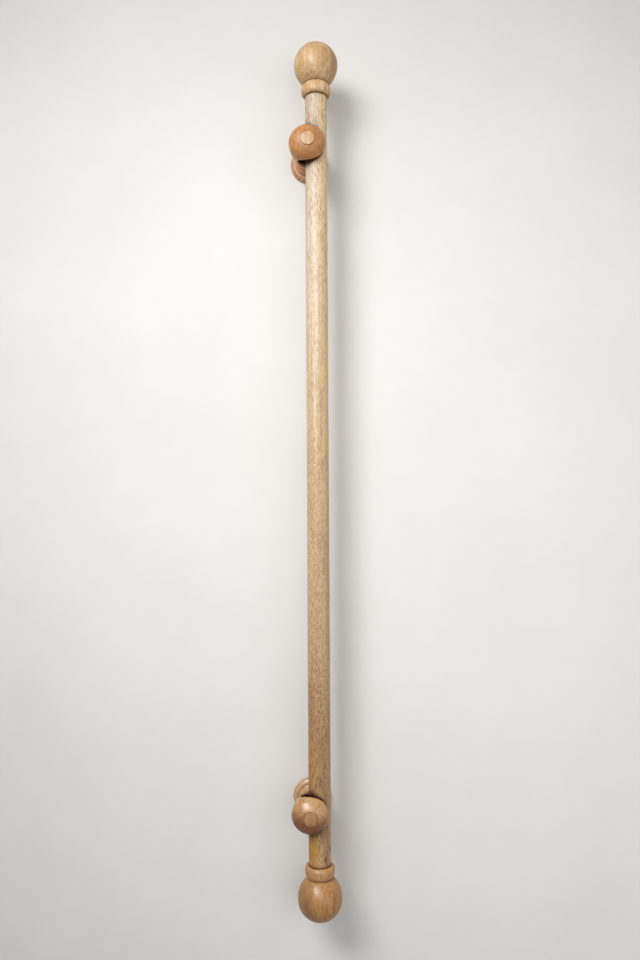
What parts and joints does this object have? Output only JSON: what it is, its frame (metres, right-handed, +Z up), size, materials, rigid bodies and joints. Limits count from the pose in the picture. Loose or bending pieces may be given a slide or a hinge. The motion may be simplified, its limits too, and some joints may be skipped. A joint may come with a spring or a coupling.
{
  "type": "curtain rod with brackets",
  "caption": "Turned wooden curtain rod with ball finials, carried in the notches of ball-ended wall brackets with button plugs over their screws.",
  "frame": {"origin": "on the wall plane, midway between the two wall screws", "axes": "+X along the rod, +Y into the wall, +Z up; the notches open upwards"},
  "size_m": [1.393, 0.1537, 0.08],
  "materials": {
    "rod_wood": "clear satin, streaked grain",
    "finial_wood": "clear satin",
    "bracket_wood": "clear satin",
    "plug_wood": "clear satin, end grain",
    "steel": "zinc plated",
    "brass": "turned"
  },
  "bodies": {
    "wall_brackets": {"left_bracket": "bracket_wood", "right_bracket": "bracket_wood", "left_wall_screw": "steel", "right_wall_screw": "steel"},
    "rod": {"rod": "rod_wood", "left_insert": "brass", "right_insert": "brass"},
    "left_bolt": {"left_bolt": "steel"},
    "left_finial": {"left_finial": "finial_wood"},
    "right_bolt": {"right_bolt": "steel"},
    "right_finial": {"right_finial": "finial_wood"},
    "left_plug": {"left_plug": "plug_wood"},
    "right_plug": {"right_plug": "plug_wood"}
  },
  "joints": [
    {"name": "rod_lift", "type": "slide", "parent": "wall_brackets", "child": "rod", "axis": [0, 0, 1], "range_m": [0, 0.045]},
    {"name": "left_bolt_travel", "type": "slide", "parent": "rod", "child": "left_bolt", "axis": [-1, 0, 0], "range_m": [0, 0.0126]},
    {"name": "left_finial_turn", "type": "hinge", "parent": "left_bolt", "child": "left_finial", "pos_m": [-0.6095, -0.07, 0.0125], "axis": [-1, 0, 0], "range_deg": [0, 3600]},
    {"name": "left_plug_pull", "type": "slide", "parent": "wall_brackets", "child": "left_plug", "axis": [0, -1, 0], "range_m": [0, 0.02]},
    {"name": "right_bolt_travel", "type": "slide", "parent": "rod", "child": "right_bolt", "axis": [1, 0, 0], "range_m": [0, 0.0126]},
    {"name": "right_finial_turn", "type": "hinge", "parent": "right_bolt", "child": "right_finial", "pos_m": [0.6095, -0.07, 0.0125], "axis": [1, 0, 0], "range_deg": [0, 3600]},
    {"name": "right_plug_pull", "type": "slide", "parent": "wall_brackets", "child": "right_plug", "axis": [0, -1, 0], "range_m": [0, 0.02]}
  ],
  "couplings": [
    {"joint": "left_bolt_travel", "follows": "left_finial_turn", "m_per_rad": 0.00019894},
    {"joint": "right_bolt_travel", "follows": "right_finial_turn", "m_per_rad": 0.00019894}
  ]
}
